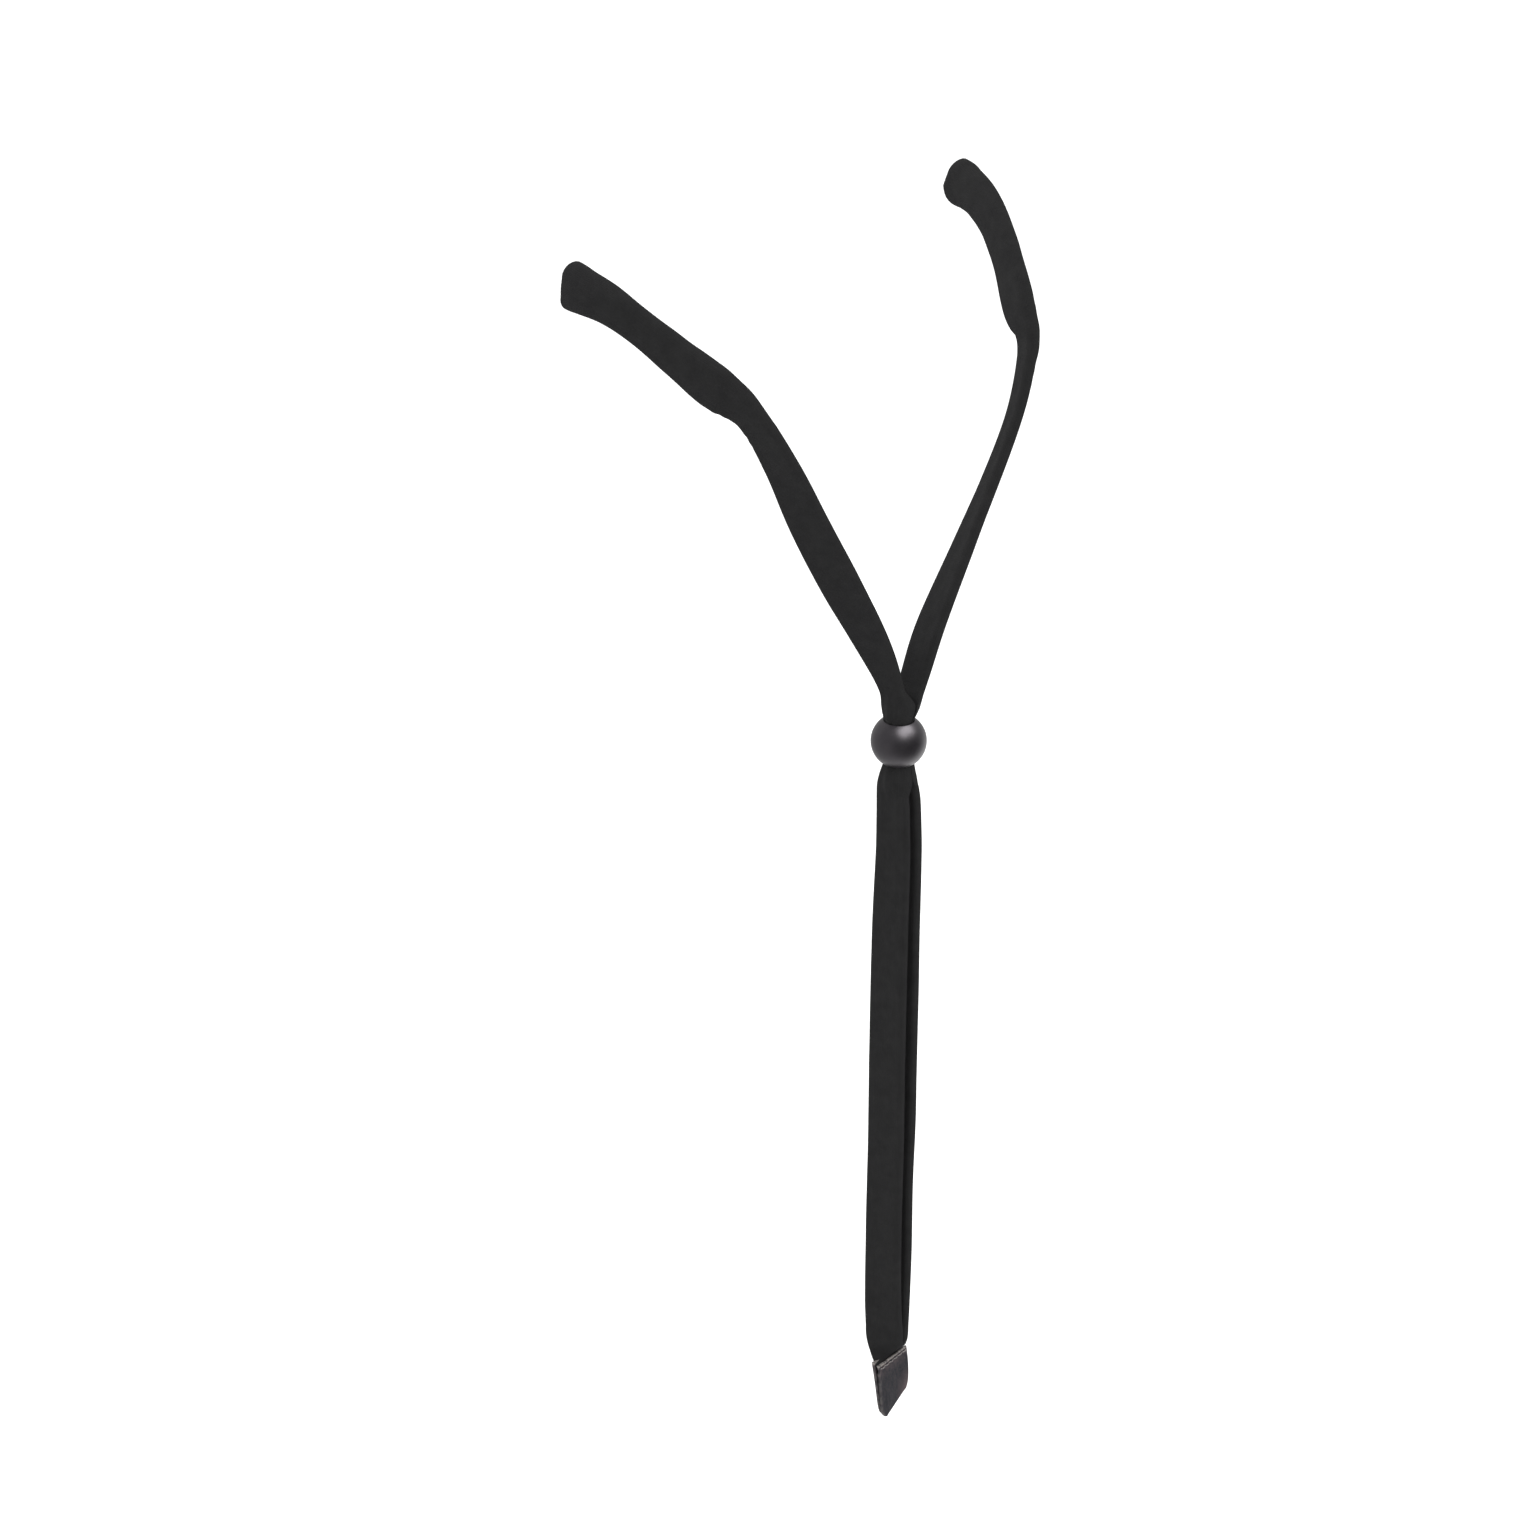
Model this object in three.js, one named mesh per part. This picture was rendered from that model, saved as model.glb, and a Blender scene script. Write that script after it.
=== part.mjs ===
// Eyeglass retainer strap: a flattened knit tube whose two open ends grip the temples of a pair of
// glasses. The two halves of the tube run down through a sliding bead, and are sewn together under
// a folded label. It is drawn as it hangs from the glasses. Millimetres.
//
// Frame: the origin is midway between the two sleeve mouths. +Y points forward, towards the
// lenses, +X to the wearer's right and +Z up.

import {
  BufferGeometry, CatmullRomCurve3, ExtrudeGeometry, Float32BufferAttribute, Group,
  LatheGeometry, Matrix4, Mesh, MeshStandardMaterial, Shape, Vector2, Vector3,
} from 'three';
import { mergeVertices } from 'three/addons/utils/BufferGeometryUtils.js';

// ---- driving dimensions ----
const BEAD_DIAMETER = 15.6;       // the ball before its bore is cut
const BEAD_BORE = 8.4;
const BEAD_RIM = 0.3;             // width of the bevel round each end of the bore
const BEAD_Z = -131.8;            // centre of the bead
const TAIL_Y = -57;               // the bead and the lower straps hang in this plane
const SLEEVE_WALL = 1.1;          // one layer of stretched knit
const SLEEVE_END = 7;             // the station where the sleeve ends and the upper strap begins
const CAVITY_END = 5.5;           // the station where the sleeve's hollow ends
const JOIN_GAP = 0.02;            // between two lengths of one strap, as a share of a station
const LABEL_WIDTH = 13.4;
const LABEL_HEIGHT = 19.4;        // from the open top edges down to the fold, at the near side
const LABEL_SLANT = 5.2;          // how much higher the fold is at the far side
const LABEL_LEAN = 2.4;           // how far the fold hangs towards the far side
const LABEL_THICKNESS = 2.6;      // over both leaves at the top
const LABEL_LEAF = 0.6;           // one leaf of the woven label
const LABEL_FOLD_RADIUS = 0.75;
const LABEL_TOP = [-0.7, TAIL_Y - 0.4, -331.8];
const LABEL_FACE = 285;           // direction that the front leaf looks, degrees from +X towards +Y
const STITCHES = 6;               // in the row that holds the label on the strap
const STITCH_DROP = 1.2;          // below the label's top edge
const STITCH_MARGIN = 0.6;        // from the row's ends to the label's sides
const THREAD_RADIUS = 0.18;
const THREAD_RISE = 0.12;         // of a stitch's middle over its ends
const THREAD_GAP = 0.1;

// Every section is a flattened oval. A station is [x, y, z, width, thickness, face], where face is
// the direction that the strap's outer side looks, in degrees from +X towards +Y.
const UPPER_LEFT = [
  [-67.5, -1, -0.4, 14.0, 7.6, 180],       // mouth of the sleeve
  [-67.0, -6, -1.1, 13.3, 7.4, 180],
  [-64.4, -13, -3.3, 11.8, 7.0, 180],
  [-61.0, -21.5, -7.9, 11.0, 5.9, 181],
  [-57.4, -31.5, -13.5, 12.0, 5.8, 184],
  [-53.8, -41.5, -19.2, 13.6, 5.6, 188],   // tip of the temple
  [-50.4, -49, -23.6, 11.6, 4.6, 194],
  [-44.5, -51, -31.4, 12.0, 3.2, 189],     // the strap has turned down
  [-37.0, -52, -44.7, 12.0, 3.0, 196],
  [-28.1, -53, -63.5, 12.2, 3.0, 209],
  [-18.1, -54.2, -83.1, 12.1, 3.0, 212],
  [-8.3, -55.8, -102.5, 10.7, 3.2, 204],
  [-3.8, -57.0, -114.5, 8.3, 3.2, 198],
  [-2.0, -57.5, -122.3, 7.4, 3.2, 195],
  [-1.69, -57.45, -125.4, 6.8, 3.1, 195],  // into the bead
  [-1.69, -57.45, -131.6, 6.8, 3.1, 195],  // middle of the bead
];
const UPPER_RIGHT = [
  [67.5, 1, 1.4, 14.0, 7.4, 0],
  [67.0, -4.5, 0.9, 13.2, 7.2, 0],
  [64.7, -13.5, -0.4, 12.2, 6.8, 0],
  [61.5, -23.5, -4.9, 11.5, 5.7, -2],
  [57.4, -33.5, -12.1, 11.8, 5.4, -5],
  [53.0, -43.0, -20.7, 13.9, 4.9, -10],
  [51.4, -48.6, -26.4, 11.0, 4.0, -16],
  [49.9, -50.2, -33.6, 12.2, 3.3, -28],
  [45.4, -51.2, -47.4, 12.0, 3.0, -30],
  [36.5, -52.2, -64.0, 12.2, 3.0, -27],
  [25.5, -53.6, -81.0, 12.2, 3.0, -19],
  [12.8, -55.2, -100.6, 11.4, 3.2, -6],
  [5.5, -56.2, -114.5, 9.2, 3.2, 8],
  [2.5, -56.5, -122.3, 8.2, 3.2, 14],
  [1.69, -56.55, -125.4, 6.9, 3.1, 15],
  [1.69, -56.55, -131.6, 6.8, 3.1, 15],
];
// The pair below the bead: [middle of the pair, z, offset of each strap to its own side, width,
// thickness, face of the left strap].
const LOWER_PAIR = [
  [0, -132.0, 1.75, 6.8, 3.1, 195],
  [0, -138.0, 1.75, 6.8, 3.1, 195],
  [0.1, -141.5, 2.2, 8.8, 3.2, 195],
  [0.3, -147, 2.6, 10.2, 3.2, 195],
  [0.6, -156, 2.8, 10.8, 3.0, 195],
  [0.1, -190, 2.9, 11.8, 3.0, 195],
  [-0.4, -240, 2.9, 12.0, 3.0, 195],
  [-1.0, -290, 2.8, 12.0, 3.0, 196],
  [-1.2, -312, 2.4, 12.0, 3.0, 200],
  [-1.2, -321, 2.0, 11.8, 2.9, 205],
];
// The straps' sewn end, which turns to lie flat inside the label.
const STRAP_FOLD = [
  [-1.2, TAIL_Y, -321.9, 11.8, 6.8, 205],
  [-1.4, TAIL_Y, -325.4, 11.8, 6.2, 222],
  [-1.2, TAIL_Y - 0.2, -328.4, 11.7, 3.8, 258],
  [-0.7, TAIL_Y - 0.4, -331.4, 11.6, 1.2, LABEL_FACE],
  [-0.3, TAIL_Y - 0.3, -336, 11.4, 0.9, LABEL_FACE],
];

// ---- tessellation ----
const SECTION_SIDES = 16;
const STEPS_PER_STATION = 3;
const BEAD_SEGMENTS = 48;
const BEAD_ARC_STEPS = 16;
const FOLD_ARC_STEPS = 6;

const radians = (degrees) => degrees * Math.PI / 180;
const horizontal = (degrees) => new Vector3(Math.cos(radians(degrees)), Math.sin(radians(degrees)), 0);

// ---- lofted straps ----
function route(stations) {
  const curve = (points) => new CatmullRomCurve3(points, false, 'catmullrom', 0.5);
  const places = curve(stations.map(([x, y, z]) => new Vector3(x, y, z)));
  const sections = curve(stations.map((station) => new Vector3(...station.slice(3))));
  const end = stations.length - 1;
  const at = (u) => {
    const [width, thickness, face] = sections.getPoint(u / end).toArray();
    const place = places.getPoint(u / end);
    const tangent = places.getTangent(u / end);
    return { place, tangent, width, thickness, face };
  };
  return { at, end };
}

// One flattened oval, square to the tangent, with its thin direction towards the face.
function oval({ place, tangent, width, thickness, face }, inset = 0) {
  const outward = horizontal(face);
  outward.addScaledVector(tangent, -outward.dot(tangent)).normalize();
  const across = new Vector3().crossVectors(tangent, outward);
  const radius = thickness / 2 - inset;
  const flat = (width - thickness) / 2;
  return Array.from({ length: SECTION_SIDES }, (_, i) => {
    const angle = (i + 0.5) * 2 * Math.PI / SECTION_SIDES;
    const sideways = Math.cos(angle) * radius + Math.sign(Math.cos(angle)) * flat;
    const out = Math.sin(angle) * radius;
    return place.clone().addScaledVector(across, sideways).addScaledVector(outward, out);
  });
}

function ovals(path, from, to, inset = 0) {
  const steps = Math.ceil(Math.abs(to - from) * STEPS_PER_STATION);
  const at = (i) => path.at(from + (to - from) * i / steps);
  return Array.from({ length: steps + 1 }, (_, i) => oval(at(i), inset));
}

// A closed solid through rings that run back along their route, with a flat cap on each end.
function loft(rings) {
  const positions = [];
  const triangle = (...corners) => corners.forEach((corner) => positions.push(...corner.toArray()));
  for (let r = 0; r + 1 < rings.length; r += 1) {
    rings[r].forEach((corner, i) => {
      const next = (i + 1) % SECTION_SIDES;
      triangle(corner, rings[r][next], rings[r + 1][next]);
      triangle(corner, rings[r + 1][next], rings[r + 1][i]);
    });
  }
  const [first, last] = [rings[0], rings[rings.length - 1]];
  for (let i = 1; i + 1 < SECTION_SIDES; i += 1) {
    triangle(first[0], first[i + 1], first[i]);
    triangle(last[0], last[i], last[i + 1]);
  }
  const geometry = new BufferGeometry();
  geometry.setAttribute('position', new Float32BufferAttribute(positions, 3));
  return mergeVertices(geometry);
}

// Hollow from the mouth to the temple's tip: up the outside, over the flat rim and down the inside.
function sleeve(path) {
  const mouth = { ...path.at(0), tangent: new Vector3(0, -1, 0) };
  const firstStep = 1 / STEPS_PER_STATION;
  const outside = ovals(path, SLEEVE_END - JOIN_GAP, firstStep);
  const inside = ovals(path, firstStep, CAVITY_END, SLEEVE_WALL);
  return loft([...outside, oval(mouth), oval(mouth, SLEEVE_WALL), ...inside]);
}

function upperStrap(path) {
  return loft(ovals(path, path.end, SLEEVE_END + JOIN_GAP));
}

function lowerStrap(halfTurn) {
  const path = route(LOWER_PAIR.map(([middle, z, offset, width, thickness, face]) => {
    const side = horizontal(face + halfTurn).multiplyScalar(offset);
    return [middle + side.x, TAIL_Y + side.y, z, width, thickness, face + halfTurn];
  }));
  return loft(ovals(path, path.end, 0));
}

function strapFold() {
  const path = route(STRAP_FOLD);
  return loft(ovals(path, path.end, 0));
}

// ---- bead: a ball with a bore, turned about the hanging line ----
function bead() {
  const radius = BEAD_DIAMETER / 2;
  const bore = BEAD_BORE / 2;
  const rimAngle = Math.acos((bore + BEAD_RIM) / radius);
  const boreEnd = radius * Math.sin(rimAngle) - BEAD_RIM;
  const profile = [new Vector2(bore, boreEnd), new Vector2(bore, -boreEnd)];
  for (let i = 0; i <= BEAD_ARC_STEPS; i += 1) {
    const angle = rimAngle * (2 * i / BEAD_ARC_STEPS - 1);
    profile.push(new Vector2(radius * Math.cos(angle), radius * Math.sin(angle)));
  }
  profile.push(profile[0].clone());
  return new LatheGeometry(profile, BEAD_SEGMENTS).rotateX(Math.PI / 2).translate(0, TAIL_Y, BEAD_Z);
}

// ---- label: one woven strip folded at the bottom, its two leaves closing on the strap's end ----
// It is drawn with X off the front leaf, Y up and Z along its width from the far side.
function labelFrame() {
  const front = horizontal(LABEL_FACE);
  const up = new Vector3(0, 0, 1);
  const alongWidth = new Vector3().crossVectors(front, up);
  const corner = new Vector3(...LABEL_TOP).addScaledVector(alongWidth, -LABEL_WIDTH / 2);
  return new Matrix4().makeBasis(front, up, alongWidth).setPosition(corner);
}

function label() {
  const outline = (inset) => {
    const half = LABEL_THICKNESS / 2 - inset;
    const radius = LABEL_FOLD_RADIUS - inset;
    const side = [new Vector2(-half, 0)];
    for (let i = 0; i <= FOLD_ARC_STEPS; i += 1) {
      const angle = Math.PI * (1 + i / FOLD_ARC_STEPS);
      const along = LABEL_FOLD_RADIUS - LABEL_HEIGHT + Math.sin(angle) * radius;
      side.push(new Vector2(Math.cos(angle) * radius, along));
    }
    side.push(new Vector2(half, 0));
    return side;
  };
  const outer = outline(0);
  const inner = outline(LABEL_LEAF);
  const geometry = new ExtrudeGeometry(new Shape([...outer, ...inner.reverse()]), {
    depth: LABEL_WIDTH,
    steps: 4,
    bevelEnabled: false,
  });
  const position = geometry.getAttribute('position');
  for (let i = 0; i < position.count; i += 1) {
    const farness = 1 - position.getZ(i) / LABEL_WIDTH;
    const depth = -position.getY(i) / LABEL_HEIGHT;
    position.setY(i, -depth * (LABEL_HEIGHT - farness * LABEL_SLANT));
    position.setZ(i, position.getZ(i) - depth * LABEL_LEAN);
  }
  return geometry.applyMatrix4(labelFrame());
}

// A lockstitch has one thread on each leaf, rising over the weave between the needle holes.
function stitchThread(leaf) {
  const lean = (LABEL_THICKNESS / 2 - LABEL_FOLD_RADIUS) / LABEL_HEIGHT;
  const surface = LABEL_THICKNESS / 2 - STITCH_DROP * lean + THREAD_RADIUS + THREAD_GAP;
  const pitch = (LABEL_WIDTH - 2 * STITCH_MARGIN) / STITCHES;
  const points = Array.from({ length: 2 * STITCHES + 1 }, (_, i) => (
    new Vector3(leaf * (surface + (i % 2) * THREAD_RISE), -STITCH_DROP, STITCH_MARGIN + i * pitch / 2)));
  const section = new Shape().absarc(0, 0, THREAD_RADIUS, 0, 2 * Math.PI);
  return new ExtrudeGeometry(section, {
    extrudePath: new CatmullRomCurve3(points),
    steps: 6 * STITCHES,
    curveSegments: 4,
    bevelEnabled: false,
  }).applyMatrix4(labelFrame());
}

// ---- the assembly ----
const knit = new MeshStandardMaterial({ name: 'knit', color: 0x2b2b2d, roughness: 0.95 });
const plastic = new MeshStandardMaterial({ name: 'bead', color: 0x38363a, roughness: 0.35 });
const woven = new MeshStandardMaterial({ name: 'woven label', color: 0x33333b, roughness: 0.8 });
const thread = new MeshStandardMaterial({ name: 'thread', color: 0x80766c, roughness: 0.85 });

function part(name, geometry, material) {
  const mesh = new Mesh(geometry, material);
  mesh.name = name;
  return mesh;
}

const leftRoute = route(UPPER_LEFT);
const rightRoute = route(UPPER_RIGHT);

const retainer = new Group();
retainer.add(
  part('left_sleeve', sleeve(leftRoute), knit),
  part('right_sleeve', sleeve(rightRoute), knit),
  part('left_upper_strap', upperStrap(leftRoute), knit),
  part('right_upper_strap', upperStrap(rightRoute), knit),
  part('slider_bead', bead(), plastic),
  part('left_lower_strap', lowerStrap(0), knit),
  part('right_lower_strap', lowerStrap(180), knit),
  part('strap_fold', strapFold(), knit),
  part('label', label(), woven),
  part('label_needle_thread', stitchThread(1), thread),
  part('label_bobbin_thread', stitchThread(-1), thread),
);

export default retainer;
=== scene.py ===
import math

import bpy
import numpy as np
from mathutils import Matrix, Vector, noise


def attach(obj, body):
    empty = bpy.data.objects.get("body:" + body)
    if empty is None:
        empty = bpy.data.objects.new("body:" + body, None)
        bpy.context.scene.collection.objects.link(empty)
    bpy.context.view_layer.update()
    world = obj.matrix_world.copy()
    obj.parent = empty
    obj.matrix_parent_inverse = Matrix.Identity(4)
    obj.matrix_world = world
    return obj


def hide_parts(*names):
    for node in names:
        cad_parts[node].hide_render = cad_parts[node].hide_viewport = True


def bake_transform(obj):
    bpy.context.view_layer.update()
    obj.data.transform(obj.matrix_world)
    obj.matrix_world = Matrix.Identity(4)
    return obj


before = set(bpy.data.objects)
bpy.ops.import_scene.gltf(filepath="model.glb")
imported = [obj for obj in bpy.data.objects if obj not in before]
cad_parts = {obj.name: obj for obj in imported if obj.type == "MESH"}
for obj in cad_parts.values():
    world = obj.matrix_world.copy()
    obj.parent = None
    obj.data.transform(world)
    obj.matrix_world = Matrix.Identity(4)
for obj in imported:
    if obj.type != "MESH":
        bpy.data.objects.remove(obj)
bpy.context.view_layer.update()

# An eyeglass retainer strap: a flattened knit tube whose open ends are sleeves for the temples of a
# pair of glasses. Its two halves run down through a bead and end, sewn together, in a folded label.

MM = 0.001

# ---- camera ----
AZIMUTH = -38.5                # degrees; the camera stands behind the wearer's left shoulder
ELEVATION = 25.0
DISTANCE = 1.25
AIM = Vector((-0.03178, -0.03399, -0.13631))
LENS = 107.45                  # millimetres, on a sensor 36 mm wide
SENSOR = 36.0

# ---- routes, in millimetres: [x, y, z, width, thickness, face], as the solids have them ----
UPPER_LEFT = [
    [-67.5, -1, -0.4, 14.0, 7.6, 180],
    [-67.0, -6, -1.1, 13.3, 7.4, 180],
    [-64.4, -13, -3.3, 11.8, 7.0, 180],
    [-61.0, -21.5, -7.9, 11.0, 5.9, 181],
    [-57.4, -31.5, -13.5, 12.0, 5.8, 184],
    [-53.8, -41.5, -19.2, 13.6, 5.6, 188],
    [-50.4, -49, -23.6, 11.6, 4.6, 194],
    [-44.5, -51, -31.4, 12.0, 3.2, 189],
    [-37.0, -52, -44.7, 12.0, 3.0, 196],
    [-28.1, -53, -63.5, 12.2, 3.0, 209],
    [-18.1, -54.2, -83.1, 12.1, 3.0, 212],
    [-8.3, -55.8, -102.5, 10.7, 3.2, 204],
    [-3.8, -57.0, -114.5, 8.3, 3.2, 198],
    [-2.0, -57.5, -122.3, 7.4, 3.2, 195],
    [-1.69, -57.45, -125.4, 6.8, 3.1, 195],
    [-1.69, -57.45, -131.6, 6.8, 3.1, 195],
]
UPPER_RIGHT = [
    [67.5, 1, 1.4, 14.0, 7.4, 0],
    [67.0, -4.5, 0.9, 13.2, 7.2, 0],
    [64.7, -13.5, -0.4, 12.2, 6.8, 0],
    [61.5, -23.5, -4.9, 11.5, 5.7, -2],
    [57.4, -33.5, -12.1, 11.8, 5.4, -5],
    [53.0, -43.0, -20.7, 13.9, 4.9, -10],
    [51.4, -48.6, -26.4, 11.0, 4.0, -16],
    [49.9, -50.2, -33.6, 12.2, 3.3, -28],
    [45.4, -51.2, -47.4, 12.0, 3.0, -30],
    [36.5, -52.2, -64.0, 12.2, 3.0, -27],
    [25.5, -53.6, -81.0, 12.2, 3.0, -19],
    [12.8, -55.2, -100.6, 11.4, 3.2, -6],
    [5.5, -56.2, -114.5, 9.2, 3.2, 8],
    [2.5, -56.5, -122.3, 8.2, 3.2, 14],
    [1.69, -56.55, -125.4, 6.9, 3.1, 15],
    [1.69, -56.55, -131.6, 6.8, 3.1, 15],
]
TAIL_Y = -57.0                 # the plane that the bead and the lower straps hang in
# Below the bead: [x, y, z of the pair, offset of each strap, width, thickness, left strap's face].
LOWER_PAIR = [
    [0, TAIL_Y, -132.0, 1.75, 6.8, 3.1, 195],
    [0, TAIL_Y, -138.0, 1.75, 6.8, 3.1, 195],
    [0.1, TAIL_Y, -141.5, 2.2, 8.8, 3.2, 195],
    [0.3, TAIL_Y, -147, 2.6, 10.2, 3.2, 195],
    [0.6, TAIL_Y, -156, 2.8, 10.8, 3.0, 195],
    [0.1, TAIL_Y, -190, 2.9, 11.8, 3.0, 195],
    [-0.4, TAIL_Y, -240, 2.9, 12.0, 3.0, 195],
    [-1.0, TAIL_Y, -290, 2.8, 12.0, 3.0, 196],
    [-1.2, TAIL_Y, -312, 2.4, 12.0, 3.0, 200],
    [-1.2, TAIL_Y, -321, 2.0, 11.8, 2.9, 205],
]
FLAT_MOUTH_END = 0.6           # the station from which a sleeve's sections follow its line
TIP = 5                        # the station of the temple's tip
CAVITY_END = 5.5               # the station where the sleeve's hollow ends
KINK = 7                       # the station where the sleeve ends and the upper strap begins
SHORT_END_Z = -157.0           # where the short lengths under the bead end

# ---- knit ----
WALES = 34                     # columns of stitches round the tube
COURSE = 0.62                  # height of a stitch
POINTS_PER_WALE = 4
RING_STEP = 0.75               # between the rings of a strap's mesh
RIB = 0.05                     # depth of the groove between two columns of stitches
WALL = 1.1                     # the sleeve's knit
HEM_LENGTH = 6.5               # the layer that is turned in at the mouth
HEM_STEP = 0.3                 # how far the hem stands in from the wall behind it
HEM_EDGE = 0.15                # how softly it ends
LIP_STEPS = 6

# ---- mouths of the sleeves ----
MOUTH_FORWARD = {"left": 0.9, "right": 0.8}    # how far a mouth is pulled on to its temple
MOUTH_TILT = {"left": -0.13, "right": -0.42}   # how far forward its top lies, per height
MOUTH_CHIN = {"left": 0.0, "right": 5.4}       # how far back the lowest point of a mouth lies
CHIN_START = 0.9               # below the mouth's middle
CHIN_CURVE = 1.35              # above 1, the rim turns back more towards its lowest point
MOUTH_REACH = 17.0             # the length of sleeve that follows its mouth's lean

# ---- straps at the bead; heights are measured from the bead's middle ----
BORE_FILL = 4.15               # radius of the bundle that the two straps make in the bead's bore
BORE_FLARE = 0.26              # how fast the bundle opens above and below the bore
BORE_REACH = 6.3               # the height where it starts to open
BUNDLE_GAP = 0.12              # between the two straps in the bore
BUNDLE_HEIGHT = 16.0           # where the straps' sections start to turn into half discs
BUNDLE_TURN = 6.0              # the length that they take for it
LEAN_ABOVE = 0.65              # how far the straps lean to the right where they enter the bead
LEAN_BELOW = -0.3              # and where they leave it
LEAN_TURN = 4.0                # the length over which the lean sets in
LEAN_HEIGHT = 14.0             # where the lean starts to fade
LEAN_FADE = 18.0               # the length that it fades over

# ---- folds in the knit ----
UPPER_DENT = 0.16              # how far a strap's faces are pressed in
LOWER_DENT = 0.18
UPPER_PLEAT = 0.16             # height of the pleats where the bead gathers a strap
LOWER_PLEAT = 0.15
PLEATS = 9                     # round the tube
PLEAT_REACH = 8.0              # the length of strap that they fade over
LOWER_CREASE = 0.1             # depth of the long creases below the bead
CREASES = 5                    # round the tube
KINK_CRUMPLE = 0.12            # height of the crumples below the kink
TIP_BULGE = 0.35               # how far the temple fills out its sleeve
TIP_CRUMPLE = 0.14             # height of the crumples under the temple's tip
TIP_WRINKLE = 0.07             # and of those over it
KINK_DENT = 0.1                # how far a sleeve's faces are pressed in at the kink
MOUTH_GRIP = 0.1               # how far the hem stands out
SLEEVE_LUMPS = 0.12            # height of the unevenness of a sleeve
UPPER_SEED = {"left": 3.1, "right": 11.7}      # for the noise that bends a strap a little
LOWER_SEED = {"left": 21.3, "right": 35.9}
SOFT_RINGS = 12                # rings at each end of a strap over which that noise fades

# ---- bead ----
BEAD_DIAMETER = 15.6
BEAD_BORE = 8.4
BEAD_Z = -132.1
BEAD_RIM = 0.2                 # radius of the rounding at each end of the bore
BEAD_SEGMENTS = 128            # round the ball
BEAD_STEPS = 64                # from rim to rim
BEAD_RIM_STEPS = 8
BEAD_BORE_STEPS = 24

# ---- label ----
LABEL_WIDTH = 13.4
LABEL_HEIGHT = 19.4
LABEL_SLANT = 5.2              # how much shorter its far side is
LABEL_THICKNESS = 2.1          # over both leaves, at the open end
LABEL_BULGE = 0.15             # how far the leaves stand out halfway down
LABEL_HEM = 0.9                # how far the leaves' turned near edges close the gap between them
HEM_CURVE = 12                 # the higher, the nearer to the edge they turn
LABEL_LEAF = 0.6               # thickness of a leaf
LABEL_FOLD = 0.75              # outer radius of the fold
LABEL_TOP = Vector((-0.7, TAIL_Y - 0.4, -331.8))   # the middle of the open end
LABEL_FACE = 285.0             # degrees, the way the front leaf faces
LABEL_DRAW_IN = 2.3            # how far the near side edge has drawn in by the fold
LABEL_CORNER = 3.2             # rounding of the near bottom corner
CORNER_CURVE = 9               # the higher, the shorter the rounding
LABEL_REACH = 1.1              # how far the far side edge stands out at the open end
LABEL_BELLY = 1.5              # how much further it stands out near the fold
BELLY_DEPTH = 0.85             # the share of the height from which it stands out fully
LABEL_FAR_CORNER = 1.2         # rounding of the far bottom corner
FAR_CORNER_CURVE = 10
LABEL_DROP = 1.2               # how much lower the fold hangs
LABEL_BACK_RISE = 1.2          # how much higher the back leaf reaches at the near side
LABEL_BACK_REACH = 0.85        # how much further the back leaf reaches past the near side
SELVEDGE = 0.08                # how far the woven edge stands out
SELVEDGE_INSET = 0.45          # from the side edge to the middle of it
SELVEDGE_REACH = 0.35
EDGE_THINNING = 0.45           # the share of the leaf's thickness that is left at its side edge
EDGE_REACH = 0.25              # the larger, the wider its thin edge
RIPPLE = 0.12                  # depth of the waves across a leaf
LABEL_STEPS = 40               # of the mesh, across the label and down each leaf
FOLD_STEPS = 14
SEWN_WIDTH = 14.2              # the strap's ends at the label's open edge
SEWN_NARROWING = 3.5           # how much narrower they are at their far end
SEWN_THICKNESS = 0.3
SEWN_SHIFT = 0.1               # how far the sewn ends lie towards the far side
SEWN_CURVE = 2.7               # how late the strap's section turns flat
SEWN_STEPS = 18
SEWN_INSIDE = 0.4              # how far they go on between the leaves, as a share of their length above
WARP_RATE = 15.7               # of the weave's lengthwise cords, in radians per millimetre
WEFT_RATE = 18.0               # and of the yarns across them
WEFT_SLANT = 9.0
STITCHES = 6
STITCH_DROP = 1.2              # from the open end to the row of stitches
STITCH_MARGIN = 0.6            # from the side edges to its ends
THREAD_RADIUS = 0.18


# ---- routes ----
def spline(rows, u, slope=False):
    """Catmull-Rom through the rows, at each place u, counted in rows."""
    rows = np.asarray(rows, float)
    extended = np.vstack([2 * rows[0] - rows[1], rows, 2 * rows[-1] - rows[-2]])
    u = np.asarray(u, float)
    i = np.clip(np.floor(u).astype(int), 0, len(rows) - 2)
    t = (u - i)[:, None]
    a, b, c, d = (extended[i + k] for k in range(4))
    square, cube = 2 * a - 5 * b + 4 * c - d, 3 * b - a - 3 * c + d
    if slope:
        return 0.5 * (c - a + 2 * square * t + 3 * cube * t ** 2)
    return 0.5 * (2 * b + (c - a) * t + square * t ** 2 + cube * t ** 3)


def unit(v):
    return v / np.linalg.norm(v, axis=-1, keepdims=True)


def horizontal(degrees):
    angle = np.radians(np.asarray(degrees, float))
    return np.stack([np.cos(angle), np.sin(angle), np.zeros_like(angle)], -1)


def lower_rows(half_turn):
    """The stations of one lower strap; half_turn is 0 for the left and 180 for the right."""
    rows = []
    for x, y, z, offset, width, thickness, face in LOWER_PAIR:
        side = horizontal(face + half_turn) * offset
        rows.append([x + side[0], y + side[1], z, width, thickness, face + half_turn])
    return rows


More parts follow.
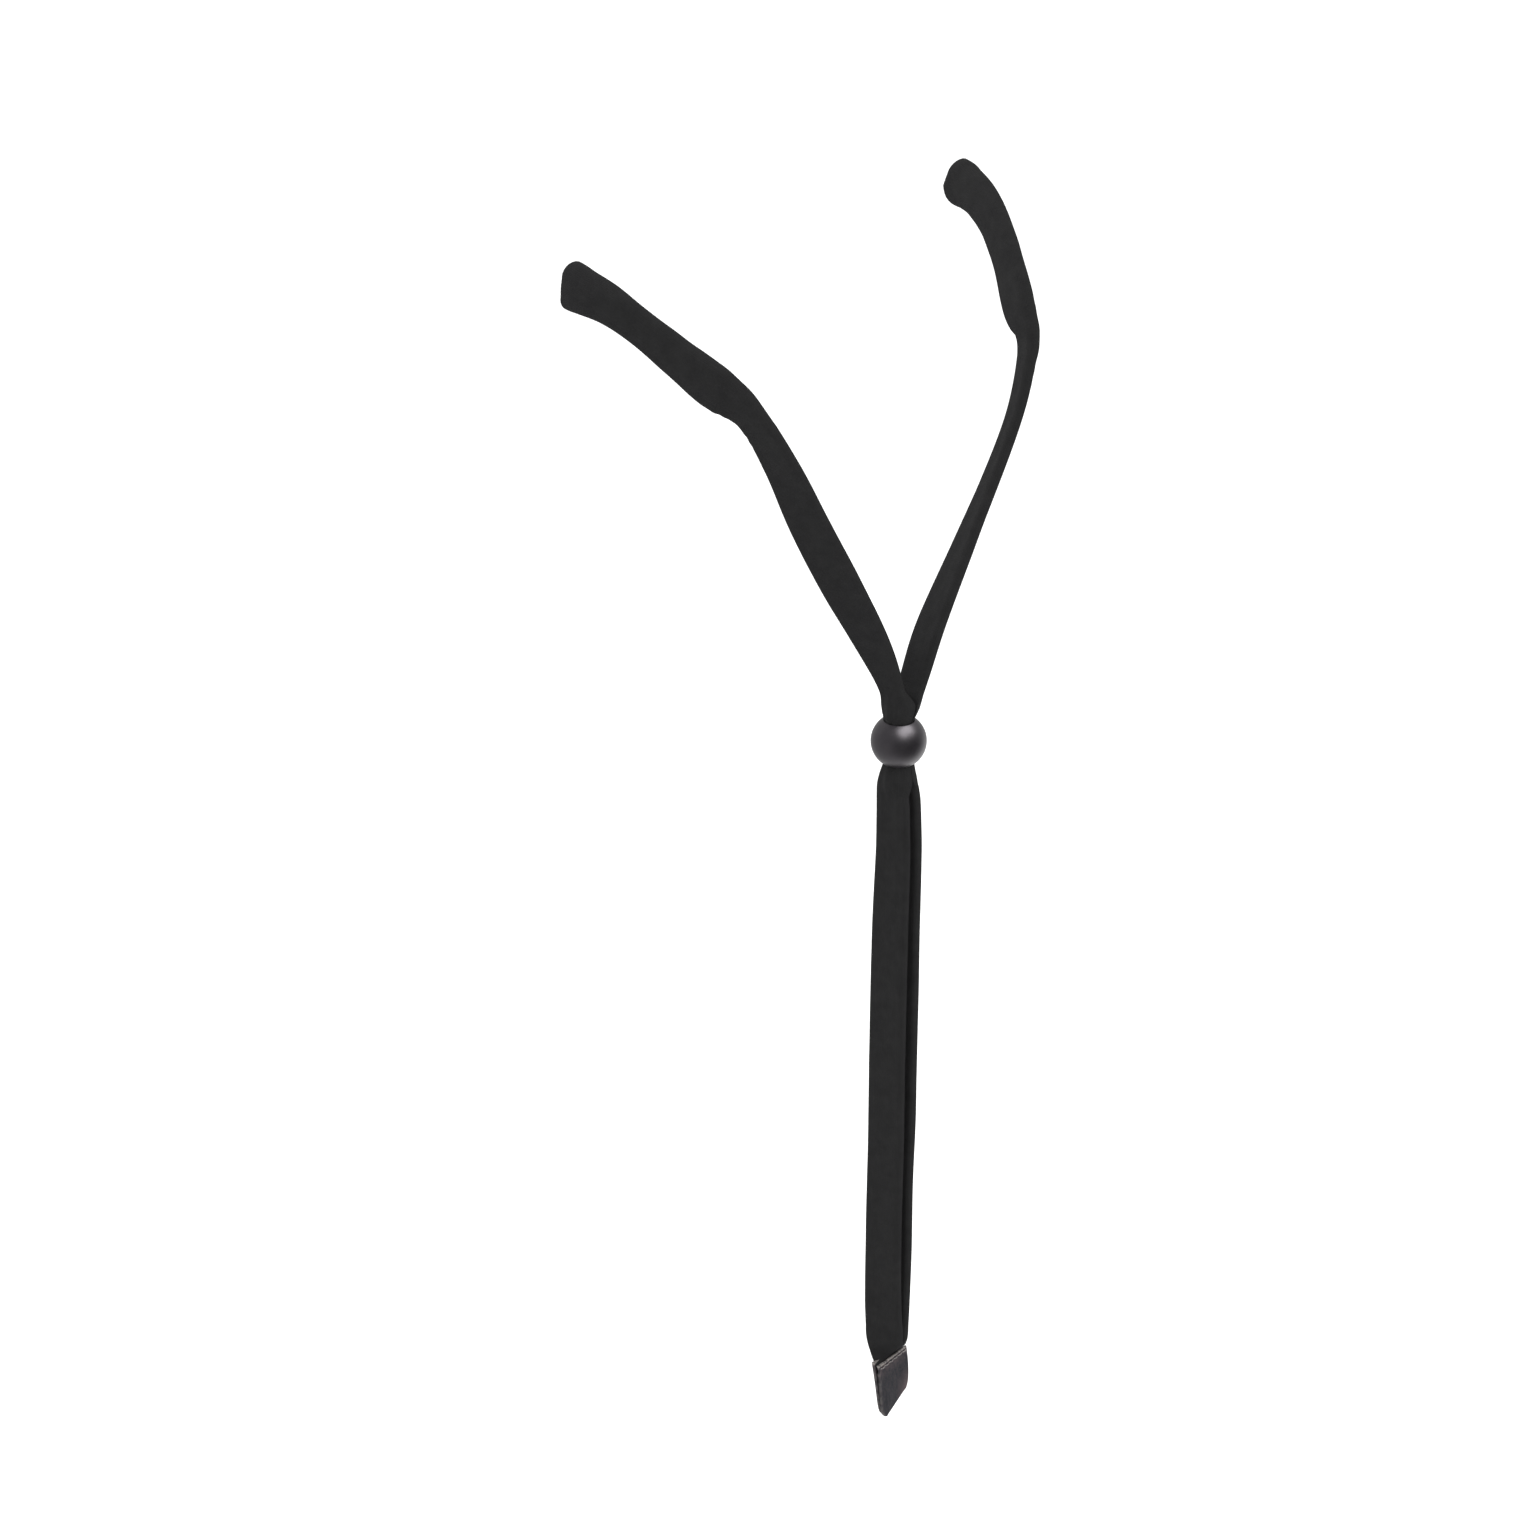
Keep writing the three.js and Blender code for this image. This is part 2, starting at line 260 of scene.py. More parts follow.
class Route:
    """A strap's line, with its length measured from the first station."""

    def __init__(self, rows):
        self.rows = np.asarray(rows, float)
        self.fine = np.linspace(0, len(rows) - 1, 200 * (len(rows) - 1) + 1)
        steps = np.diff(spline(self.rows[:, :3], self.fine), axis=0)
        self.lengths = np.concatenate([[0], np.cumsum(np.linalg.norm(steps, axis=1))])

    def length(self, station):
        return float(np.interp(station, self.fine, self.lengths))

    def station_at_z(self, z):
        heights = spline(self.rows[:, :3], self.fine)[:, 2]
        return float(self.fine[np.argmin(np.abs(heights - z))])

    def frames(self, lengths, flat_mouth=False):
        """Place, outward, across, width and thickness at each length along the line."""
        u = np.interp(lengths, self.lengths, self.fine)
        place = spline(self.rows[:, :3], u)
        tangent = unit(spline(self.rows[:, :3], u, slope=True))
        width, thickness, face = spline(self.rows[:, 3:], u).T
        if flat_mouth:
            share = ease(u / FLAT_MOUTH_END)[:, None]
            tangent = unit(np.array([0.0, -1.0, 0.0]) * (1 - share) + tangent * share)
        outward = horizontal(face)
        outward = unit(outward - tangent * np.sum(outward * tangent, 1, keepdims=True))
        across = np.cross(tangent, outward)
        return place, outward, across, width, thickness


def flat_tube(width, thickness, count):
    """Sections of a flattened tube: evenly spaced points round each, their outward normals and their crown.

    The crown is 1 at the middle of each face and falls to 0 at its sides.
    """
    radius = (thickness / 2)[:, None]
    flat = ((width - thickness) / 2)[:, None]
    quarter = math.pi * radius / 2
    round_share = np.arange(count)[None, :] / count
    s = round_share * (4 * flat + 4 * quarter)
    turns = [
        (s < quarter, s / radius, flat),
        (s < quarter + 2 * flat, np.full_like(s, math.pi / 2), flat - (s - quarter)),
        (s < 3 * quarter + 2 * flat, math.pi / 2 + (s - quarter - 2 * flat) / radius, -flat),
        (s < 3 * quarter + 4 * flat, np.full_like(s, 1.5 * math.pi), s - 3 * quarter - 3 * flat),
        (s >= 3 * quarter + 4 * flat, 1.5 * math.pi + (s - 3 * quarter - 4 * flat) / radius, flat),
    ]
    tests = [t[0] for t in turns]
    angle = np.select(tests, [t[1] + 0 * s for t in turns])
    middle = np.select(tests, [t[2] + 0 * s for t in turns])
    normal = np.stack([np.cos(angle), np.sin(angle)], -1)
    point = normal * radius[..., None] + np.stack([middle, 0 * middle], -1)
    share = np.clip(np.abs(point[..., 0]) / np.maximum(flat, 1e-6), 0, 1)
    crown = 0.5 + 0.5 * np.cos(math.pi * share)
    return point, normal, crown


def bell(x, centre, reach):
    return np.exp(-((x - centre) / reach) ** 2)


def ease(x):
    x = np.clip(x, 0, 1)
    return x * x * (3 - 2 * x)


def cloth_noise(places, size, seed):
    """Smooth noise from -1 to 1 at each place, with lumps about that many millimetres across."""
    flat = places.reshape(-1, 3) / size + seed
    return np.array([noise.noise(Vector(p)) for p in flat]).reshape(places.shape[:-1])


# ---- meshes ----
def lofted(name, rings, u_counts, v_counts):
    """A closed mesh through rings of points, in millimetres. The UV map has those counts round and along."""
    rows, count = rings.shape[:2]
    verts = [tuple(p) for p in (rings.reshape(-1, 3) * MM)]
    faces, uvs, sharp = [], [], set()
    for r in range(rows - 1):
        for m in range(count):
            n = (m + 1) % count
            faces.append((r * count + m, (r + 1) * count + m, (r + 1) * count + n, r * count + n))
            left, right = u_counts[m], u_counts[m + 1]
            low, high = v_counts[r], v_counts[r + 1]
            uvs += [(left, low), (left, high), (right, high), (right, low)]
    smooth = [True] * len(faces)
    for ring in (0, rows - 1):
        verts.append(tuple(rings[ring].mean(0) * MM))
        centre = len(verts) - 1
        for m in range(count):
            n = (m + 1) % count
            a, b = ring * count + m, ring * count + n
            faces.append((centre, a, b) if ring == 0 else (centre, b, a))
            uvs += [(u_counts[m], v_counts[ring])] * 3
            smooth.append(False)
            sharp.add(frozenset((a, b)))
    mesh = bpy.data.meshes.new(name)
    mesh.from_pydata(verts, [], faces)
    mesh.polygons.foreach_set("use_smooth", smooth)
    layer = mesh.uv_layers.new(name="cloth")
    layer.data.foreach_set("uv", np.asarray(uvs, np.float32).ravel())
    mesh.attributes.new("sharp_edge", "BOOLEAN", "EDGE")
    flags = [frozenset(e.vertices) in sharp for e in mesh.edges]
    mesh.attributes["sharp_edge"].data.foreach_set("value", flags)
    mesh.validate()
    piece = bpy.data.objects.new(name, mesh)
    bpy.context.scene.collection.objects.link(piece)
    return piece


COUNT = WALES * POINTS_PER_WALE
WALE_COUNTS = np.arange(COUNT + 1) / POINTS_PER_WALE


def ribs(rows):
    """The grooves between the columns of stitches, as a height for each point of each ring."""
    column = np.arange(COUNT) / POINTS_PER_WALE
    return np.tile(-RIB * np.abs(np.cos(math.pi * column)) ** 3, (rows, 1))


def fill_bore(point, place, outward, across, width):
    """Sections that turn into half discs inside the bead, where the two straps fill its bore."""
    height = np.abs(place[:, 2] - BEAD_Z)
    share = ease((BUNDLE_HEIGHT - height) / BUNDLE_TURN)[:, None]
    radius = (BORE_FILL + BORE_FLARE * np.clip(height - BORE_REACH, 0, None))[:, None]
    off_axis = place - np.array([0, TAIL_Y, 0])
    off_axis[:, 2] = 0
    sideways = np.sum(off_axis * across, 1)[:, None]
    outwards = np.sum(off_axis * outward, 1)[:, None]
    a = point[..., 0] / (width / 2)[:, None] * radius
    arc = np.sqrt(np.clip(radius ** 2 - a ** 2, 0, None))
    b = np.where(point[..., 1] > 0, arc, BUNDLE_GAP / 2)
    disc = np.stack([a - sideways, b - outwards], -1)
    return point * (1 - share[..., None]) + disc * share[..., None]


def in_place(point, place, outward, across):
    """The points of flat sections, each section put at its place along the strap."""
    return place[:, None] + across[:, None] * point[..., :1] + outward[:, None] * point[..., 1:]


def strap_rings(route, start, end, relief):
    """Rings from one station to another; relief(lengths, crown, normal) adds folds and creases."""
    first, last = route.length(start), route.length(end)
    lengths = np.linspace(first, last, max(3, round((last - first) / RING_STEP)))
    place, outward, across, width, thickness = route.frames(lengths)
    point, normal, crown = flat_tube(width, thickness, COUNT)
    height = ribs(len(lengths)) + relief(lengths, crown, normal)
    point = fill_bore(point, place, outward, across, width) + normal * height[..., None]
    return in_place(point, place, outward, across), lengths


def lean_over(rings, amount):
    """Shifts the straps sideways beside the bead, but not in its bore."""
    height = np.abs(rings[..., 2] - BEAD_Z)
    share = ease((height - BORE_REACH) / LEAN_TURN) * (1 - ease((height - LEAN_HEIGHT) / LEAN_FADE))
    rings[..., 0] += amount * share


def soften(rings, size, amount, seed):
    """Moves whole rings a little, so that a strap isn't ruler straight."""
    middle = rings.mean(1)
    shift = np.stack([cloth_noise(middle, size, seed + k) for k in (0.0, 7.3)], -1) * amount
    fade = np.minimum(np.arange(len(rings)), np.arange(len(rings))[::-1]) / SOFT_RINGS
    shift *= np.clip(fade, 0, 1)[:, None]
    rings[..., 0] += shift[:, :1]
    rings[..., 1] += shift[:, 1:]


# ---- materials ----
def material(name):
    made = bpy.data.materials.new(name)
    made.use_nodes = True
    tree = made.node_tree
    return made, tree, tree.nodes["Principled BSDF"]


def node(tree, kind, inputs=(), **settings):
    """A node with its settings made; inputs maps a socket to a value or to another node's output."""
    made = tree.nodes.new(kind)
    for key, value in settings.items():
        setattr(made, key, value)
    for key, value in dict(inputs).items():
        if isinstance(value, bpy.types.NodeSocket):
            tree.links.new(value, made.inputs[key])
        else:
            made.inputs[key].default_value = value
    return made


def maths(tree, operation, a, b=0.0, c=0.0):
    return node(tree, "ShaderNodeMath", {0: a, 1: b, 2: c}, operation=operation).outputs[0]


def noise_of(tree, coordinates, scale, detail=3.0, roughness=0.5):
    inputs = {"Vector": coordinates, "Scale": scale, "Detail": detail, "Roughness": roughness}
    return node(tree, "ShaderNodeTexNoise", inputs).outputs["Fac"]


def rescale(tree, value, low, high, to_low, to_high):
    inputs = {"Value": value, "From Min": low, "From Max": high, "To Min": to_low, "To Max": to_high}
    return node(tree, "ShaderNodeMapRange", inputs).outputs["Result"]


def blended(tree, factor, first, second):
    """Between two colours; each is a tuple or another node's output."""
    made = node(tree, "ShaderNodeMix", data_type="RGBA")
    tree.links.new(factor, made.inputs["Factor"])
    for colour, socket in zip((first, second), [s for s in made.inputs if s.type == "RGBA"]):
        if isinstance(colour, bpy.types.NodeSocket):
            tree.links.new(colour, socket)
        else:
            socket.default_value = (*colour, 1)
    return next(s for s in made.outputs if s.type == "RGBA")


def knit_material():
    """Jersey: columns of V-shaped stitches, in charcoal cotton with a slight fuzz."""
    made, tree, shader = material("charcoal_knit")
    uv = node(tree, "ShaderNodeUVMap", uv_map="cloth").outputs["UV"]
    parts = node(tree, "ShaderNodeSeparateXYZ", {"Vector": uv})
    place = node(tree, "ShaderNodeTexCoord").outputs["Object"]
    # Each column is two legs that lean to the column's middle.
    side = maths(tree, "ABSOLUTE", maths(tree, "SUBTRACT", maths(tree, "FRACT", parts.outputs["X"]), 0.5))
    from_leg = maths(tree, "MULTIPLY", maths(tree, "ABSOLUTE", maths(tree, "SUBTRACT", side, 0.25)), 4.0)
    leg = maths(tree, "SQRT", maths(tree, "SUBTRACT", 1.0, maths(tree, "POWER", from_leg, 2.0)))
    lean = maths(tree, "MULTIPLY_ADD", side, 1.3, parts.outputs["Y"])
    loop = maths(tree, "SINE", maths(tree, "MULTIPLY", maths(tree, "FRACT", lean), math.pi))
    stitch = maths(tree, "MULTIPLY", leg, maths(tree, "MULTIPLY_ADD", loop, 0.6, 0.4))
    fibre = noise_of(tree, place, 9000.0, 2.0, 0.7)
    blotch = noise_of(tree, place, 260.0, 4.0, 0.6)
    height = maths(tree, "MULTIPLY_ADD", fibre, 0.35, stitch)
    bump = node(tree, "ShaderNodeBump", {"Strength": 0.55, "Distance": 0.00016, "Height": height})
    # The colour is darker where the stitch relief is low: painted shade in the hollows between the stitch
    # legs, laid over the cotton's real mottle and fibre tone.
    shade = maths(tree, "MULTIPLY_ADD", stitch, 0.35, maths(tree, "MULTIPLY", blotch, 0.75))
    shade = maths(tree, "MULTIPLY_ADD", fibre, 0.45, shade)
    colour = blended(tree, rescale(tree, shade, 0.40, 1.20, 0.0, 1.0), (0.0130, 0.0130, 0.0134),
                     (0.0250, 0.0249, 0.0252))
    tree.links.new(colour, shader.inputs["Base Color"])
    tree.links.new(bump.outputs["Normal"], shader.inputs["Normal"])
    tree.links.new(rescale(tree, fibre, 0.3, 0.7, 0.82, 0.98), shader.inputs["Roughness"])
    shader.inputs["Specular IOR Level"].default_value = 0.03
    return made


def bead_material():
    """Satin moulded plastic, near black, with faint rubbing marks."""
    made, tree, shader = material("satin_bead")
    place = node(tree, "ShaderNodeTexCoord").outputs["Object"]
    cloud = noise_of(tree, place, 190.0, 3.0, 0.55)
    grain = noise_of(tree, place, 5200.0, 3.0, 0.65)
    stretched = node(tree, "ShaderNodeMapping", {"Vector": place, "Scale": (1.0, 1.0, 9.0)})
    rub = noise_of(tree, stretched.outputs["Vector"], 420.0, 5.0, 0.7)
    colour = blended(tree, rescale(tree, cloud, 0.35, 0.65, 0.0, 1.0), (0.0095, 0.0085, 0.0110),
                     (0.0150, 0.0135, 0.0155))
    rough = maths(tree, "MULTIPLY_ADD", rub, 0.12, maths(tree, "MULTIPLY_ADD", cloud, 0.08, 0.29))
    height = maths(tree, "MULTIPLY_ADD", rub, 0.5, grain)
    bump = node(tree, "ShaderNodeBump", {"Strength": 0.12, "Distance": 0.00006, "Height": height})
    tree.links.new(colour, shader.inputs["Base Color"])
    tree.links.new(rough, shader.inputs["Roughness"])
    tree.links.new(bump.outputs["Normal"], shader.inputs["Normal"])
    shader.inputs["IOR"].default_value = 1.56
    shader.inputs["Specular Tint"].default_value = (1.0, 0.94, 1.0, 1.0)
    return made


def label_material(length):
    """Woven ribbon: fine lengthwise cords in navy and grey-brown yarn, paler where it is cut or turned."""
    made, tree, shader = material("woven_label")
    uv = node(tree, "ShaderNodeUVMap", uv_map="cloth").outputs["UV"]
    parts = node(tree, "ShaderNodeSeparateXYZ", {"Vector": uv})
    across, along = parts.outputs["X"], parts.outputs["Y"]   # millimetres
    place = node(tree, "ShaderNodeTexCoord").outputs["Object"]
    cords = maths(tree, "SINE", maths(tree, "MULTIPLY", across, WARP_RATE))
    warp = maths(tree, "MULTIPLY_ADD", cords, 0.5, 0.5)
    slant = maths(tree, "MULTIPLY_ADD", across, WEFT_SLANT, maths(tree, "MULTIPLY", along, WEFT_RATE))
    weft = maths(tree, "MULTIPLY_ADD", maths(tree, "SINE", slant), 0.5, 0.5)
    weave = maths(tree, "MULTIPLY_ADD", weft, 0.6, maths(tree, "MULTIPLY", warp, 0.4))
    speckle = noise_of(tree, place, 1500.0, 3.0, 0.65)
    streak_at = node(tree, "ShaderNodeMapping", {"Vector": uv, "Scale": (1.1, 0.22, 1.0)})
    streak = noise_of(tree, streak_at.outputs["Vector"], 1.0, 3.0, 0.6)
    from_middle = maths(tree, "ABSOLUTE", maths(tree, "SUBTRACT", across, LABEL_WIDTH / 2))
    from_fold = maths(tree, "ABSOLUTE", maths(tree, "SUBTRACT", along, length / 2))
    side_edge = rescale(tree, from_middle, LABEL_WIDTH / 2 - 0.6, LABEL_WIDTH / 2 - 0.1, 0.0, 0.22)
    cut_edge = rescale(tree, from_fold, length / 2 - 0.8, length / 2 - 0.3, 0.0, 1.0)
    fray_at = node(tree, "ShaderNodeMapping", {"Vector": uv, "Scale": (1.3, 0.6, 1.0)})
    fray = noise_of(tree, fray_at.outputs["Vector"], 1.0, 3.0, 0.6)
    edge = maths(tree, "MULTIPLY", maths(tree, "MAXIMUM", side_edge, cut_edge),
                 rescale(tree, fray, 0.38, 0.55, 0.25, 1.0))
    worn = maths(tree, "MULTIPLY", rescale(tree, across, 6.5, 0.5, 0.0, 1.0),
                 rescale(tree, from_fold, 11.0, 2.0, 0.0, 1.0))
    rubbed = maths(tree, "MULTIPLY", rescale(tree, from_fold, length / 2 - 6, length / 2 - 1, 0.0, 0.7),
                   rescale(tree, fray, 0.42, 0.58, 0.0, 1.0))
    worn = maths(tree, "MAXIMUM", worn, rubbed)
    colour = blended(tree, rescale(tree, streak, 0.4, 0.6, 0.0, 1.0), (0.0062, 0.0062, 0.0130),
                     (0.0165, 0.0150, 0.0210))
    colour = blended(tree, rescale(tree, speckle, 0.45, 0.65, 0.0, 0.6), colour, (0.034, 0.027, 0.030))
    colour = blended(tree, maths(tree, "MULTIPLY", worn, 0.85), colour, (0.095, 0.064, 0.067))
    colour = blended(tree, edge, colour, (0.27, 0.25, 0.235))
    height = maths(tree, "MULTIPLY_ADD", speckle, 0.3, weave)
    bump = node(tree, "ShaderNodeBump", {"Strength": 0.6, "Distance": 0.00012, "Height": height})
    tree.links.new(colour, shader.inputs["Base Color"])
    tree.links.new(bump.outputs["Normal"], shader.inputs["Normal"])
    tree.links.new(rescale(tree, weave, 0.0, 1.0, 0.8, 0.6), shader.inputs["Roughness"])
    shader.inputs["Specular IOR Level"].default_value = 0.2
    return made


def thread_material():
    """Two-ply sewing thread in pale grey-brown."""
    made, tree, shader = material("sewing_thread")
    uv = node(tree, "ShaderNodeUVMap", uv_map="cloth").outputs["UV"]
    parts = node(tree, "ShaderNodeSeparateXYZ", {"Vector": uv})
    twist = maths(tree, "MULTIPLY_ADD", parts.outputs["X"], 4 * math.pi,
                  maths(tree, "MULTIPLY", parts.outputs["Y"], 9.0))
    ply = maths(tree, "MULTIPLY_ADD", maths(tree, "SINE", twist), 0.5, 0.5)
    place = node(tree, "ShaderNodeTexCoord").outputs["Object"]
    fibre = noise_of(tree, place, 7000.0, 2.0, 0.6)
    # The colour is dark in the groove between the two plies: painted shade of the twist, with the real fibre
    # tone mixed in.
    colour = blended(tree, maths(tree, "MULTIPLY", ply, fibre), (0.11, 0.095, 0.09), (0.46, 0.43, 0.42))
    bump = node(tree, "ShaderNodeBump", {"Strength": 0.7, "Distance": 0.00008, "Height": ply})
    tree.links.new(colour, shader.inputs["Base Color"])
    tree.links.new(bump.outputs["Normal"], shader.inputs["Normal"])
    shader.inputs["Roughness"].default_value = 0.6
    return made


def floor_material():
    made, tree, shader = material("pale_floor")
    place = node(tree, "ShaderNodeTexCoord").outputs["Object"]
    colour = blended(tree, noise_of(tree, place, 3.0, 2.0), (0.90, 0.90, 0.90), (0.93, 0.93, 0.93))
    tree.links.new(colour, shader.inputs["Base Color"])
    shader.inputs["Roughness"].default_value = 0.9
    shader.inputs["Specular IOR Level"].default_value = 0.1
    return made


def finish_piece(piece, made, slot, *replaced):
    piece.data.materials.append(made)
    if replaced:
        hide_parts(*replaced)


# ---- camera ----
def direction(azimuth, elevation):
    """From the object towards a viewer there."""
    a, e = math.radians(azimuth), math.radians(elevation)
    return Vector((math.sin(a) * math.cos(e), -math.cos(a) * math.cos(e), math.sin(e)))


def make_camera():
    data = bpy.data.cameras.new("camera")
    data.sensor_width = SENSOR
    data.lens = LENS
    data.clip_start = 0.05
    data.clip_end = 20.0
    camera = bpy.data.objects.new("camera", data)
    back = direction(AZIMUTH, ELEVATION)
    camera.location = AIM + back * DISTANCE
    camera.rotation_mode = "QUATERNION"
    camera.rotation_quaternion = (-back).to_track_quat("-Z", "Y")
    bpy.context.scene.collection.objects.link(camera)
    bpy.context.scene.camera = camera


make_camera()
KNIT = knit_material()

# ---- straps: the free cords ----
ROUTES = {"left": Route(UPPER_LEFT), "right": Route(UPPER_RIGHT)}
LOWER_ROUTES = {"left": Route(lower_rows(0)), "right": Route(lower_rows(180))}


def upper_strap(side):
    route = ROUTES[side]
    bore_top = route.length(len(route.rows) - 1)
    kink = route.length(KINK)

    def relief(lengths, crown, normal):
        s = lengths[:, None]
        outer = np.clip(normal[..., 1], 0, 1)
        around = np.arange(COUNT)[None, :] / COUNT * 2 * math.pi
        dent = -UPPER_DENT * crown * (1 - bell(s, kink, 9)) * (1 - bell(s, bore_top, 16))
        pleats = UPPER_PLEAT * np.sin(around * PLEATS + s * 0.05) * outer * bell(s, bore_top - 9, PLEAT_REACH)
        crumple = KINK_CRUMPLE * np.sin(s * 1.7) * np.clip(normal[..., 0], 0, 1) * bell(s, kink + 3, 4)
        return dent + pleats + crumple

    rings, lengths = strap_rings(route, KINK, len(route.rows) - 1, relief)
    soften(rings, size=17.0, amount=0.22, seed=UPPER_SEED[side])
    lean_over(rings, LEAN_ABOVE)
    piece = lofted(f"{side}_upper_strap_knit", rings, WALE_COUNTS, lengths / COURSE)
    finish_piece(piece, KNIT, "knit", f"{side}_upper_strap")
    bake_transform(piece)


def sewn_end(ring, length, face):
    """From the strap's last ring to a flat section between the leaves of the label."""
    outward, across = horizontal(face), horizontal(face - 90)
    rings = []
    between = np.array([0.3, 0.625, 1])   # places on the part that lies between the leaves
    down = np.concatenate([np.linspace(0, 1, SEWN_STEPS), 1 + SEWN_INSIDE * between])
    inside = np.concatenate([np.zeros(SEWN_STEPS), between])
    sections = flat_tube(SEWN_WIDTH - SEWN_NARROWING * inside, 0 * down + SEWN_THICKNESS, COUNT)[0]
    depth = ring[:, 2].mean() - LABEL_TOP.z
    for d, share, point in zip(down, inside, sections):
        centre = np.array(LABEL_TOP) + outward * (SEWN_THICKNESS / 2 + 0.01)
        centre = centre + horizontal(LABEL_FACE + 90) * (SEWN_SHIFT + SEWN_NARROWING / 2 * share)
        flat = centre + across * point[:, :1] + outward * point[:, 1:]
        weight = min(d, 1) ** SEWN_CURVE
        new = ring * (1 - weight) + flat * weight
        new[:, 2] = ring[:, 2] * (1 - min(d, 1)) + LABEL_TOP.z * min(d, 1) - depth * max(d - 1, 0)
        rings.append(new)
    rings = np.array(rings)
    steps = np.linalg.norm(np.diff(rings.mean(1), axis=0), axis=1)
    return rings, length + np.concatenate([[0], np.cumsum(steps)])


def lower_straps(side):
    """The strap under the bead, as a short length and a long one, and its sewn end."""
    route = LOWER_ROUTES[side]
    split = route.station_at_z(SHORT_END_Z)
    top = route.length(0)
    sewn = route.length(len(LOWER_PAIR) - 1)

    def relief(lengths, crown, normal):
        s = lengths[:, None]
        outer = np.clip(normal[..., 1], 0, 1)
        around = np.arange(COUNT)[None, :] / COUNT * 2 * math.pi
        dent = -LOWER_DENT * crown * (1 - bell(s, top, 22)) * (1 - bell(s, sewn + 14, 12))
        pleats = LOWER_PLEAT * np.sin(around * PLEATS + 1.1) * outer * bell(s, top + 11, PLEAT_REACH)
        crease = -LOWER_CREASE * bell(s, top + 34, 26) * np.clip(np.cos(around * CREASES + 0.6), 0, 1) * outer
        return dent + pleats + crease

    made = {}
    for name, start, finish in (("short", 0, split), ("long", split, len(LOWER_PAIR) - 1)):
        rings, lengths = strap_rings(route, start, finish, relief)
        if name == "long":
            soften(rings, size=24.0, amount=0.3, seed=LOWER_SEED[side])
        lean_over(rings, LEAN_BELOW)
        made[name] = (rings, lengths)
    made["end"] = sewn_end(made["long"][0][-1], sewn, LABEL_FACE + (0 if side == "left" else 180))
    pieces = {}
    for name, (rings, lengths) in made.items():
        pieces[name] = lofted(f"{side}_lower_strap_{name}", rings, WALE_COUNTS, lengths / COURSE)
        finish_piece(pieces[name], KNIT, "knit")
    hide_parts(f"{side}_lower_strap")
    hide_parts("strap_fold")
    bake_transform(pieces["short"])
    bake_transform(pieces["long"])
    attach(pieces["end"], "strap_end")


for each_side in ("left", "right"):
    upper_strap(each_side)
    lower_straps(each_side)


# ---- sleeves ----
def sleeve(side):
    """The hollow end: down the inside to the temple's tip, over a rounded lip and back outside."""
    route = ROUTES[side]
    lip = WALL / 2
    kink = route.length(KINK)
    tip = route.length(TIP)
    angle = np.linspace(0, math.pi, LIP_STEPS + 2)[1:-1]
    inner = np.arange(route.length(CAVITY_END), lip, -RING_STEP)
    outer = np.linspace(lip, kink, round(kink / RING_STEP))
    inner_inset = WALL - HEM_STEP / (1 + np.exp(-(inner - HEM_LENGTH) / HEM_EDGE))
    lengths = np.concatenate([inner, lip * (1 - np.sin(angle)), outer])
    inset = np.concatenate([inner_inset, lip * (1 + np.cos(angle)), 0 * outer])
    outside = np.concatenate([0 * inner, 0.5 - 0.5 * np.cos(angle), 1 + 0 * outer])[:, None]
    place, outward, across, width, thickness = route.frames(lengths, flat_mouth=True)
    point, normal, crown = flat_tube(width, thickness, COUNT)
    s = lengths[:, None]
    bulge = TIP_BULGE * crown * bell(s, tip - 22, 26) - KINK_DENT * crown * bell(s, kink, 9)
    under = np.clip(normal[..., 0], 0, 1)
    over = np.clip(-normal[..., 0], 0, 1)
    crumple = TIP_CRUMPLE * np.sin(s * 1.35 + 0.6) * under * bell(s, tip + 8, 6)
    crumple += TIP_WRINKLE * np.sin(s * 0.9) * over * bell(s, tip + 9, 7)
    grip = MOUTH_GRIP * bell(s, 2.2, 2.6)
    lumps = SLEEVE_LUMPS * cloth_noise(place[:, None] + normal[..., :1] * 3 * np.ones(3), 8.0, 5.5)
    height = (bulge + crumple + grip + lumps + ribs(len(lengths))) * outside - inset[:, None]
    point = point + normal * height[..., None]
    rings = in_place(point, place, outward, across)
    share = 1 - ease(lengths / MOUTH_REACH)[:, None]
    rise = rings[..., 2] - route.rows[0, 2]
    under_mouth = np.clip((-rise - CHIN_START) / (route.rows[0, 3] / 2 - CHIN_START), 0, 1)
    chin = MOUTH_CHIN[side] * under_mouth ** CHIN_CURVE
    rings[..., 1] += share * (MOUTH_FORWARD[side] + MOUTH_TILT[side] * rise - chin)
    courses = np.concatenate([-inner, 0 * angle, outer]) / COURSE
    piece = lofted(f"{side}_sleeve_knit", rings, WALE_COUNTS, courses)
    finish_piece(piece, KNIT, "knit", f"{side}_sleeve")
    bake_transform(piece)


for each_side in ("left", "right"):
    sleeve(each_side)


